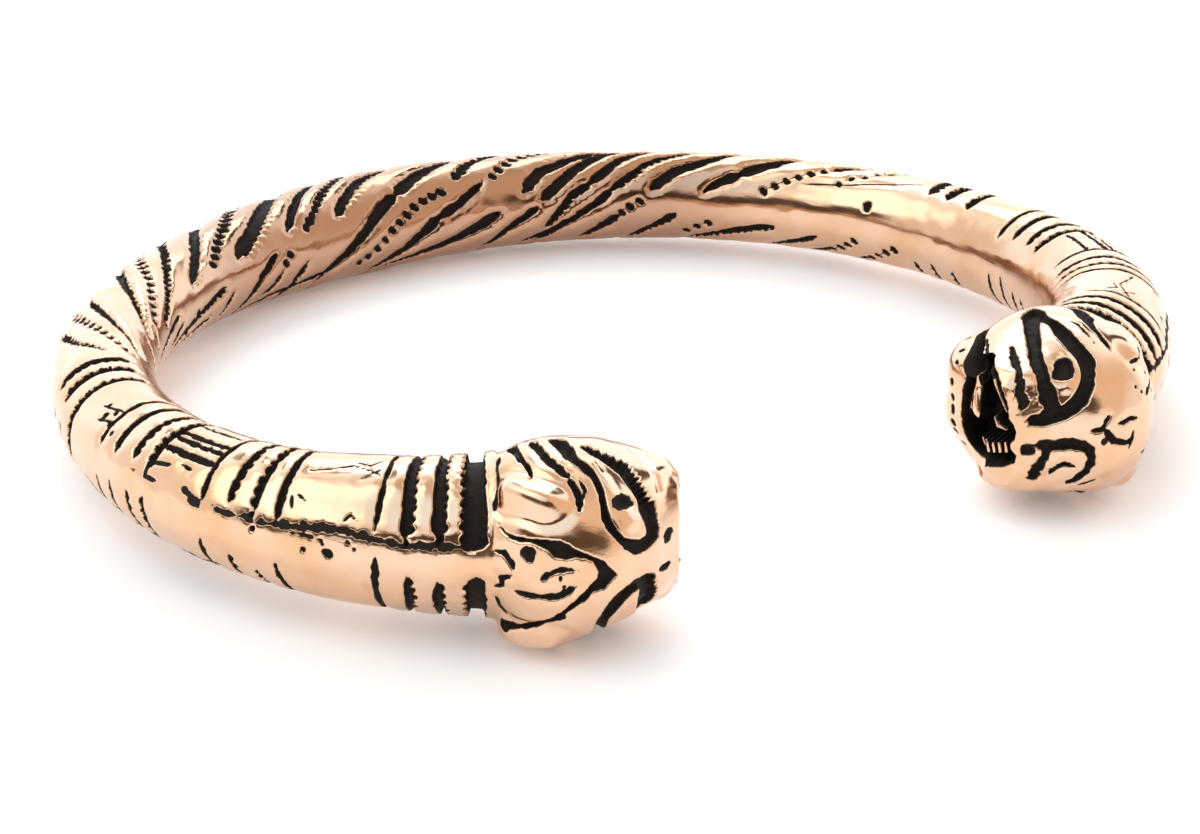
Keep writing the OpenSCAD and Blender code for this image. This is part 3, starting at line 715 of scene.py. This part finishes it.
def headSurface(side):
    # the plain form of a head: along, outward and up for each row and column
    steps, ends, length = grids["headSteps"], grids["snoutSteps"], ring["headLength"]
    along = np.concatenate([np.linspace(-ring["collarAt"], length, steps), np.full(ends, length)])
    closing = np.concatenate([np.zeros(steps), np.linspace(0, 1, ends + 1)[1:]])
    angle = np.arange(grids["headRound"]) * 360 / grids["headRound"] - 180
    share = np.clip(along / length, 0, 1)[:, None]
    neck = hoopRadius(np.clip(pastNeck(side, along), 0, hoopLength))[:, None]
    power = 1 - (1 - head["squareness"]) * ease(share / head["squareBy"])
    squared = lambda v: np.sign(v) * np.abs(v) ** power
    a = np.radians(angle)[None, :]
    crown, throat, height = (np.where(share > 0, headSize(share, c), neck) for c in (1, 2, 3))
    out, up = np.where(np.cos(a) > 0, crown, throat) * squared(np.cos(a)), height * squared(np.sin(a))
    # past the rim the rows close toward a place in the mouth
    k = closing[:, None]
    out, up = out + (head["centre"][0] - out) * k, up + (head["centre"][1] - up) * k
    under, forward = easeFrom(np.abs(angle), *head["jawRound"])[None, :], easeFrom(share, *head["jawAlong"])
    jaw = head["jawBack"] * under * forward * (1 - k)
    reach = along[:, None] - jaw + head["rimDome"] * (1 - (1 - k) ** 2)
    return along, closing, angle, reach, out, up


def carveMouth(sheet, reach, out, up, closing):
    # the open mouth: how far each place is pushed in from the front and from the side,
    # with the tongue, a fang, the lips' lines and the teeth left standing
    angle, ragged = sheet["angle"][None, :], head["mouthJag"] * sheet["ragged"]
    lip, jaw = (np.interp(sheet["along"], *zip(*head[edge]))[:, None] for edge in ("lipAngles", "jawAngles"))
    slot = np.minimum(angle - lip, jaw - angle) * sheet["perDegree"][:, None] + ragged
    slot = np.where(closing[:, None] > 0, -farOff, slot)
    front = np.where(reach > head["mouthFrom"], insidePolygon(out, up, head["opening"]) + ragged, -farOff)
    fade = 1 - easeFrom(sheet["along"], *head["slotEnd"])[:, None]
    inward = head["slotDepth"] * easeFrom(slot, *head["slotWall"]) * fade
    depth = head["mouthDepth"] * easeFrom(front, *head["mouthWall"])
    dark = darkness(np.maximum(slot, front), "mouthDark")
    for (u0, w0), (u1, w1), (first, last), top in head["inMouth"]:
        share, gap = nearSegment(out - u0, up - w0, u1 - u0, w1 - w0)
        gap = first + (last - first) * share - gap
        standing = np.where(front > 0, easeFrom(gap, *head["domeEdge"]), 0)
        thick = max(first, last)
        dome = top + head["dome"] * thick * (1 - np.clip(gap / thick, 0, 1)) ** 2
        depth = depth * (1 - standing) + np.minimum(depth, dome) * standing
        start, over = head["domeBright"]
        dark = dark * (1 - np.clip((gap - start) / over, 0, 1) * (front > 0))
    return depth, inward, dark


def carveHead(side, along, closing, angle):
    share = np.clip(along / ring["headLength"], 0, 1)
    reach = (headSize(share, 1) + headSize(share, 3)) / 2 * (1 - head["rimNarrow"] * closing)
    seed = seeds["leftHead" if side < 0 else "rightHead"]
    sheet = newSheet(along + head["overRim"] * closing, angle, reach, seed, False)
    for points, *cut in headCuts[side] + neckCuts:
        cutGroove(sheet, points, *cut)
    for a, f, radius, depth in headDots[side] + jawDots:
        punchDot(sheet, (a, f), radius, depth)
    for pad in headPads[side] + headForms[side]:
        raisePad(sheet, *pad)
    for area in headAreas[side]:
        cutArea(sheet, *area)
    # the collar groove, which the arm's mesh carries on
    s, width, depth, upFrom, upTo, lowFrom, lowTo, lowWidth = bands[0][:8]
    cutGroove(sheet, [(-s, upFrom), (-s, upTo)], width, depth)
    cutGroove(sheet, [(-s, lowFrom), (-s, lowTo)], lowWidth, armCarving["lowerDepth"] * depth)
    return sheet


# The meshes

def normalsOf(points):
    # of a grid that closes round its columns
    wrapped = np.concatenate([points[:, -1:], points, points[:, :1]], 1)
    n = np.cross(wrapped[:, 2:] - wrapped[:, :-2], np.gradient(points, axis=0))
    return n / np.maximum(np.linalg.norm(n, axis=-1, keepdims=True), 1e-9)


def newObject(name, data):
    thing = bpy.data.objects.new(name, data)
    bpy.context.scene.collection.objects.link(thing)
    return thing


def makePiece(name, points, dark, paintedShade, flip, tipPoint, openEnds):
    # a closed piece from a grid of points: quads, a fan to the tip, and a plug at each open end
    rows, cols = points.shape[:2]
    i, j = np.arange(rows - 1)[:, None] * cols, np.arange(cols)
    after = (j + 1) % cols
    quads = np.stack([i + j, i + after, i + cols + after, i + cols + j], -1).reshape(-1, 4)
    verts, patina, fans, count = [points.reshape(-1, 3)], [dark.ravel()], [], rows * cols
    if tipPoint is not None:
        verts.append(tipPoint[None])
        patina.append(np.ones(1))
        last = (rows - 1) * cols
        fans.append(np.stack([last + j, last + after, 0 * j + count], -1))
        count += 1
    for row in openEnds:
        verts += [points[row], points[row].mean(0)[None]]
        patina.append(np.ones(cols + 1))
        fan = np.stack([count + j, count + after, 0 * j + count + cols], -1)
        fans.append(fan[:, ::-1] if row == 0 else fan)
        count += cols + 1
    triangles = np.concatenate(fans)
    if flip:
        quads, triangles = quads[:, ::-1], triangles[:, ::-1]
    mesh = bpy.data.meshes.new(name)
    mesh.vertices.add(count)
    mesh.vertices.foreach_set("co", np.concatenate(verts).astype(np.float32).ravel())
    corners = np.concatenate([quads.ravel(), triangles.ravel()])
    mesh.loops.add(len(corners))
    mesh.loops.foreach_set("vertex_index", corners.astype(np.int32))
    starts = np.concatenate([np.arange(len(quads)) * 4, quads.size + np.arange(len(triangles)) * 3])
    mesh.polygons.add(len(starts))
    mesh.polygons.foreach_set("loop_start", starts.astype(np.int32))
    mesh.polygons.foreach_set("use_smooth", np.ones(len(starts), bool))
    mesh.update(calc_edges=True)
    # patina is the dark in the cuts; the other tone is the painted shade
    tones = {"patina": np.concatenate(patina), "paintedShade": np.pad(paintedShade.ravel(), (0, count - paintedShade.size))}
    for label, values in tones.items():
        mesh.attributes.new(label, "FLOAT", "POINT").data.foreach_set("value", values.astype(np.float32))
    return newObject(name, mesh)


def unevenness(t, angle):
    broad = lumps(t, angle, *ring["broadLumps"], seeds["lumps"])
    close = lumps(t, angle, *ring["closeLumps"], seeds["lumps"] + 1)
    return ring["lump"] * (broad + ring["closeShare"] * close)


def hoopPoints(name, start, end, steps):
    # points of a stretch of the hoop, with how dark each is and how much painted shade it takes
    t = np.linspace(start, end, steps)
    angle = np.arange(grids["hoopRound"]) * 360 / grids["hoopRound"]
    radius = hoopRadius(t)
    sheet = newSheet(t, angle, radius, seeds[name])
    carveArm(sheet, -1, seeds["leftBands"])
    carveArm(sheet, 1, seeds["rightBands"])
    carveTwist(sheet)
    r = radius[:, None] + sheet["rise"] - sheet["cut"] + unevenness(t, angle)
    a = np.radians(angle)[None, :]
    points = onRing(t[:, None], r * np.cos(a), r * np.sin(a))
    # painted shade: browner on the back, for the darker room it mirrors, and on the inner side, for the shade
    # that falls there
    inPaintedShade = ring["paintedShadeReach"] - np.abs(t - leftLength - ring["paintedShadeAt"])
    paintedShade = ring["paintedShadeBack"] * ease(inPaintedShade / ring["paintedShadeFade"])[:, None]
    return points, sheet["dark"], paintedShade + ring["paintedShadeInner"] * ease(-np.cos(a) / ring["innerFade"])


def headPoints(side):
    along, closing, angle, reach, out, up = headSurface(side)
    sheet = carveHead(side, along, closing, angle)
    # the broad forms run on over the rim, and fade toward the middle of the end face
    unclosed = 1 - closing[:, None]
    rise = sheet["rise"] * ease(along / head["reliefOver"])[:, None]
    rise = np.where(unclosed == 1, rise, rise[grids["headSteps"] - 1] * unclosed)
    plain = np.stack([reach, out, up], -1)
    plain += normalsOf(plain) * (rise + unevenness(pastNeck(side, along), angle) * unclosed)[..., None]
    # at the collar the cuts go straight in, as the arm's do
    straight = easeFrom(along, -ring["collarAt"], head["cutOver"])[:, None, None] * (1, 0, 0) + (0, 1, 1)
    depth, inward, mouthDark = carveMouth(sheet, reach, plain[..., 1], plain[..., 2], closing)
    outside = 1 - ease(depth + inward)
    plain -= normalsOf(plain) * straight * (sheet["cut"] * outside)[..., None]
    plain[..., 0] -= depth
    fromMiddle = np.maximum(np.hypot(plain[..., 1], plain[..., 2]), head["deepest"])
    plain[..., 1:] *= 1 - (inward / fromMiddle)[..., None]
    dark = np.maximum(sheet["dark"] * outside, mouthDark)
    return onRing(pastNeck(side, plain[..., 0]), plain[..., 1], plain[..., 2]), dark, 0 * dark


print("carving the hoop")
neck, band = ring["collarAt"], ring["bandLength"]
raw = {
    "leftArm": hoopPoints("leftArm", neck, band, grids["armSteps"]),
    "twistedBack": hoopPoints("twistedBack", band, hoopLength - band, grids["twistSteps"]),
    "rightArm": hoopPoints("rightArm", hoopLength - band, hoopLength - neck, grids["armSteps"]),
}
print("carving the heads")
raw["leftHead"] = headPoints(-1)
raw["rightHead"] = headPoints(1)

laid = {name: made[0] @ lying.T for name, made in raw.items()}
low = np.min([p.min((0, 1)) for p in laid.values()], 0)
high = np.max([p.max((0, 1)) for p in laid.values()], 0)
nodeLow, nodeHigh = (np.array(corner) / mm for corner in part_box("arm_ring"))
shift = (nodeLow + nodeHigh) / 2 - (low + high) / 2
shift[2] = nodeLow[2] - low[2]

pieces = []
for name, points in laid.items():
    placed = (points + shift) * mm
    tipPoint, ends = (placed[-1].mean(0), (0,)) if name.endswith("Head") else (None, (0, -1))
    pieces.append(makePiece(name, placed, *raw[name][1:], name != "leftHead", tipPoint, ends))
print("pieces made:", len(pieces))


# Finish. Pairs are where a mask starts and where it is whole

bronze = {
    # the brown colour is the painted shade on the hoop's back and inner side
    "polished": (0.81, 0.545, 0.375, 1), "warm": (0.74, 0.45, 0.26, 1), "paintedShade": (0.47, 0.27, 0.175, 1),
    "patina": (0.018, 0.012, 0.009, 1), "tarnish": (0.62, 0.30, 0.13, 1),
    "roughness": 0.13, "handled": (-0.03, 0.09), "patinaRoughness": 0.62,      # handled varies the polish
    "ior": 1.5, "specular": 0.12,           # the patina's; bare metal doesn't use it
    "warmWear": (0.42, 0.7), "handledWear": (0.35, 0.75), "spotScale": 290.0, "spotEdge": (0.16, 0.08),
    "patinaEdge": 0.12, "patinaFull": (0.38, 0.56), "grainScale": 9000.0,
    "blotchScale": 260.0, "scratchScale": 1500.0,
    "scratchStretch": (1.0, 0.12, 2.2), "scratchTurn": (0.3, 0.5, 0.9),
    "scratchBump": {"Strength": 0.25, "Distance": 0.00004},
    "grainBump": {"Strength": 0.6, "Distance": 0.00006},
}


def addNode(tree, kind, inputs=(), **settings):
    # an input is a value, or the output that it is linked to
    node = tree.nodes.new("ShaderNode" + kind)
    for key, value in settings.items():
        setattr(node, key, value)
    for key, value in dict(inputs).items():
        if isinstance(value, bpy.types.NodeSocket):
            tree.links.new(value, node.inputs[key])
        else:
            node.inputs[key].default_value = value
    return node


def mathOf(tree, operation, first, second):
    return addNode(tree, "Math", {0: first, 1: second}, operation=operation).outputs[0]


def rangeOf(tree, value, span, low=0.0, high=1.0, **settings):
    # goes from low to high as the value crosses the span
    inputs = {"Value": value, "From Min": span[0], "From Max": span[1], "To Min": low, "To Max": high}
    return addNode(tree, "MapRange", inputs, **settings).outputs["Result"]


def mixOf(tree, factor, first, second, kind="RGBA"):
    return addNode(tree, "Mix", {"Factor": factor, "A": first, "B": second}, data_type=kind).outputs["Result"]


def newGroup(name, inputs, outputs):
    # a shader node group with named number sockets, and start values for its inputs
    group = bpy.data.node_groups.new(name, "ShaderNodeTree")
    for label, start in inputs.items():
        group.interface.new_socket(label, in_out="INPUT", socket_type="NodeSocketFloat").default_value = start
    for label in outputs:
        group.interface.new_socket(label, in_out="OUTPUT", socket_type="NodeSocketFloat")
    given, made = group.nodes.new("NodeGroupInput").outputs, group.nodes.new("NodeGroupOutput").inputs
    return group, given, made, addNode(group, "TexCoord").outputs["Object"]


def recessPatina():
    # dark patina left in the cuts, with a crisp worn edge and a grainy floor
    inputs = {"Mask": 0.0, "Edge": bronze["patinaEdge"], "Grain": bronze["grainScale"]}
    group, given, made, place = newGroup("recessPatina", inputs, ("Amount", "Height"))
    noise = {"Vector": place, "Scale": given["Grain"], "Detail": 2.0}
    grain = addNode(group, "TexNoise", noise).outputs["Fac"]
    wobble = mathOf(group, "MULTIPLY", mathOf(group, "SUBTRACT", grain, 0.5), given["Edge"])
    amount = rangeOf(group, mathOf(group, "ADD", given["Mask"], wobble), bronze["patinaFull"])
    group.links.new(amount, made["Amount"])
    group.links.new(mathOf(group, "MULTIPLY", grain, amount), made["Height"])
    return group


def handling():
    # fine pits and faint scratches of a worn, hand-polished casting
    group, given, made, place = newGroup("handling", {"Scale": 1.0}, ("Wear", "Height"))
    blotch = addNode(group, "TexNoise", {"Vector": place, "Scale": bronze["blotchScale"], "Detail": 4.0})
    stretch = {"Vector": place, "Scale": bronze["scratchStretch"], "Rotation": bronze["scratchTurn"]}
    stretched = addNode(group, "Mapping", stretch).outputs["Vector"]
    noise = {"Vector": stretched, "Scale": bronze["scratchScale"], "Detail": 3.0}
    scratch = addNode(group, "TexNoise", noise)
    group.links.new(blotch.outputs["Fac"], made["Wear"])
    group.links.new(mathOf(group, "MULTIPLY", scratch.outputs["Fac"], given["Scale"]), made["Height"])
    return group


patinaGroup, handlingGroup = recessPatina(), handling()


def castBronze(name, spots):
    # polished bronze with black recesses, and a painted shade that browns the hoop's back and inner side.
    # spots is how much orange tarnish shows, from 0 to 1
    material = bpy.data.materials.new(name)
    material.use_nodes = True
    tree = material.node_tree
    shader = tree.nodes["Principled BSDF"]
    shader.inputs["IOR"].default_value = bronze["ior"]
    shader.inputs["Specular IOR Level"].default_value = bronze["specular"]
    tone = lambda label: addNode(tree, "Attribute", attribute_name=label).outputs["Fac"]
    mask, paintedShade = tone("patina"), tone("paintedShade")
    patina = addNode(tree, "Group", {"Mask": mask}, node_tree=patinaGroup).outputs
    wear = addNode(tree, "Group", node_tree=handlingGroup).outputs
    place = addNode(tree, "TexCoord").outputs["Object"]
    spot = addNode(tree, "TexVoronoi", {"Vector": place, "Scale": bronze["spotScale"]}).outputs["Distance"]

    color = mixOf(tree, rangeOf(tree, wear["Wear"], bronze["warmWear"]), bronze["polished"], bronze["warm"])
    # painted shade: the colour turns brown on the hoop's back and inner side
    color = mixOf(tree, paintedShade, color, bronze["paintedShade"])
    color = mixOf(tree, rangeOf(tree, spot, bronze["spotEdge"], 0, spots), color, bronze["tarnish"])
    low, high = (bronze["roughness"] + change for change in bronze["handled"])
    polish = rangeOf(tree, wear["Wear"], bronze["handledWear"], low, high)
    scratched = addNode(tree, "Bump", {"Height": wear["Height"], **bronze["scratchBump"]}).outputs["Normal"]
    grainy = {"Height": patina["Height"], "Normal": scratched, **bronze["grainBump"]}
    finish = {
        "Base Color": mixOf(tree, patina["Amount"], color, bronze["patina"]),
        "Metallic": rangeOf(tree, patina["Amount"], (0, 1), 1, 0),
        "Roughness": mixOf(tree, patina["Amount"], polish, bronze["patinaRoughness"], "FLOAT"),
        "Normal": addNode(tree, "Bump", grainy).outputs["Normal"],
    }
    for label, output in finish.items():
        tree.links.new(output, shader.inputs[label])
    return material


hoopMetal, headMetal = castBronze("hoopBronze", 0.3), castBronze("headBronze", 0.35)
for piece in pieces:
    piece.data.materials.append(headMetal if piece.name.endswith("Head") else hoopMetal)
    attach(piece, "root")
    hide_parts("arm_ring")
print("metal finished")


# Studio

studio = {
    "floorSize": 1.6, "floorColor": (0.95, 0.935, 0.94, 1), "floorRoughness": 0.7, "floorSpecular": 0.2,
    "belowColor": (1.0, 0.94, 0.92, 1), "belowLight": 0.17,         # the paper is lit a little from below too
    "cameraAzimuth": -34.17, "cameraElevation": 23.78, "cameraDistance": 0.2028, "cameraRoll": 1.37,
    "cameraTarget": (-0.00758, -0.01207, 0.00525), "lens": 98.1,
    # azimuth, elevation, distance, sides and power of the lamp behind
    "backLight": (150, 46, 0.6, (0.34, 0.26), 0.9),
}


def compass(azimuth, elevation):
    # the direction from the ring toward a place seen at that azimuth and elevation
    a, e = radians(azimuth), radians(elevation)
    return Vector((sin(a) * cos(e), -cos(a) * cos(e), sin(e)))


def paleFloor():
    mesh = bpy.data.meshes.new("floor")
    half = studio["floorSize"] / 2
    corners = [(-half, -half, 0), (half, -half, 0), (half, half, 0), (-half, half, 0)]
    mesh.from_pydata(corners, [], [(0, 1, 2, 3)])
    material = bpy.data.materials.new("palePaper")
    material.use_nodes = True
    paper = {
        "Base Color": "floorColor", "Roughness": "floorRoughness", "Specular IOR Level": "floorSpecular",
        "Emission Color": "belowColor", "Emission Strength": "belowLight",
    }
    for label, value in paper.items():
        material.node_tree.nodes["Principled BSDF"].inputs[label].default_value = studio[value]
    mesh.materials.append(material)
    floor = newObject("floor", mesh)


def softbox(name, azimuth, elevation, distance, size, power):
    data = bpy.data.lights.new(name, "AREA")
    data.shape = "RECTANGLE"
    data.size, data.size_y = size
    data.energy = power
    lamp = newObject(name, data)
    direction = compass(azimuth, elevation)
    lamp.location = direction * distance
    lamp.rotation_euler = direction.to_track_quat("Z", "Y").to_euler()


# The room that the metal mirrors, seen from the ring. Columns: azimuth from the camera,
# elevation, spread, softness, brightness of red, green and blue
room = {
    "plain": (1.13, 1.10, 1.08, 1),
    "patches": [
        (175, 12, 62, 10, (1.5, 1.65, 1.8)),        # bright window behind
        (10, 90, 24, 12, (0.78, 0.69, 0.58)),       # ceiling
        (62, 42, 34, 12, (1, 0.82, 0.66)),       # wall on the right
        (146, 40, 7, 4, (0.14, 0.10, 0.06)),        # dark rail above the window
        (160, 42, 8, 4, (0.12, 0.08, 0.05)),
        (174, 44, 8, 4, (0.12, 0.08, 0.05)),
        (-172, 44, 8, 4, (0.12, 0.08, 0.05)),
        (-157, 46, 7, 4, (0.14, 0.10, 0.06)),
        (-62, 11, 9, 4, (0.16, 0.11, 0.07)),        # dark furniture round the camera
        (-48, 12, 10, 4, (0.10, 0.07, 0.045)),
        (-32, 12, 10, 4, (0.10, 0.07, 0.045)),
        (-14, 13, 12, 5, (0.09, 0.06, 0.04)),
        (6, 15, 14, 5, (0.09, 0.06, 0.04)),
        (26, 22, 16, 6, (0.12, 0.08, 0.05)),
        (-72, 50, 28, 5, (2, 2.15, 2.1)),         # lamp above on the left
        (-22, 58, 22, 9, (1.1, 1.35, 1.55)),
    ],
}


def roomLight():
    world = bpy.data.worlds.new("room")
    bpy.context.scene.world = world
    world.use_nodes = True
    tree = world.node_tree
    way = addNode(tree, "TexCoord").outputs["Generated"]
    color = room["plain"]
    for azimuth, elevation, spread, soft, shade in room["patches"]:
        aim = {0: way, 1: compass(azimuth + studio["cameraAzimuth"], elevation)}
        near = addNode(tree, "VectorMath", aim, operation="DOT_PRODUCT").outputs["Value"]
        span = cos(radians(spread + soft)), cos(radians(spread - soft))
        edge = rangeOf(tree, near, span, interpolation_type="SMOOTHSTEP")
        color = mixOf(tree, edge, color, (*shade, 1))
    tree.links.new(color, tree.nodes["Background"].inputs["Color"])


def photoCamera():
    data = bpy.data.cameras.new("camera")
    data.lens, data.sensor_width = studio["lens"], 36
    camera = newObject("camera", data)
    away = compass(studio["cameraAzimuth"], studio["cameraElevation"])
    camera.location = Vector(studio["cameraTarget"]) + away * studio["cameraDistance"]
    turned = away.to_track_quat("Z", "Y").to_matrix() @ Matrix.Rotation(radians(studio["cameraRoll"]), 3, "Z")
    camera.rotation_euler = turned.to_euler()
    bpy.context.scene.camera = camera


paleFloor()
roomLight()
softbox("backLight", *studio["backLight"])
photoCamera()
bpy.context.scene.view_settings.view_transform = "Standard"
print("studio set")
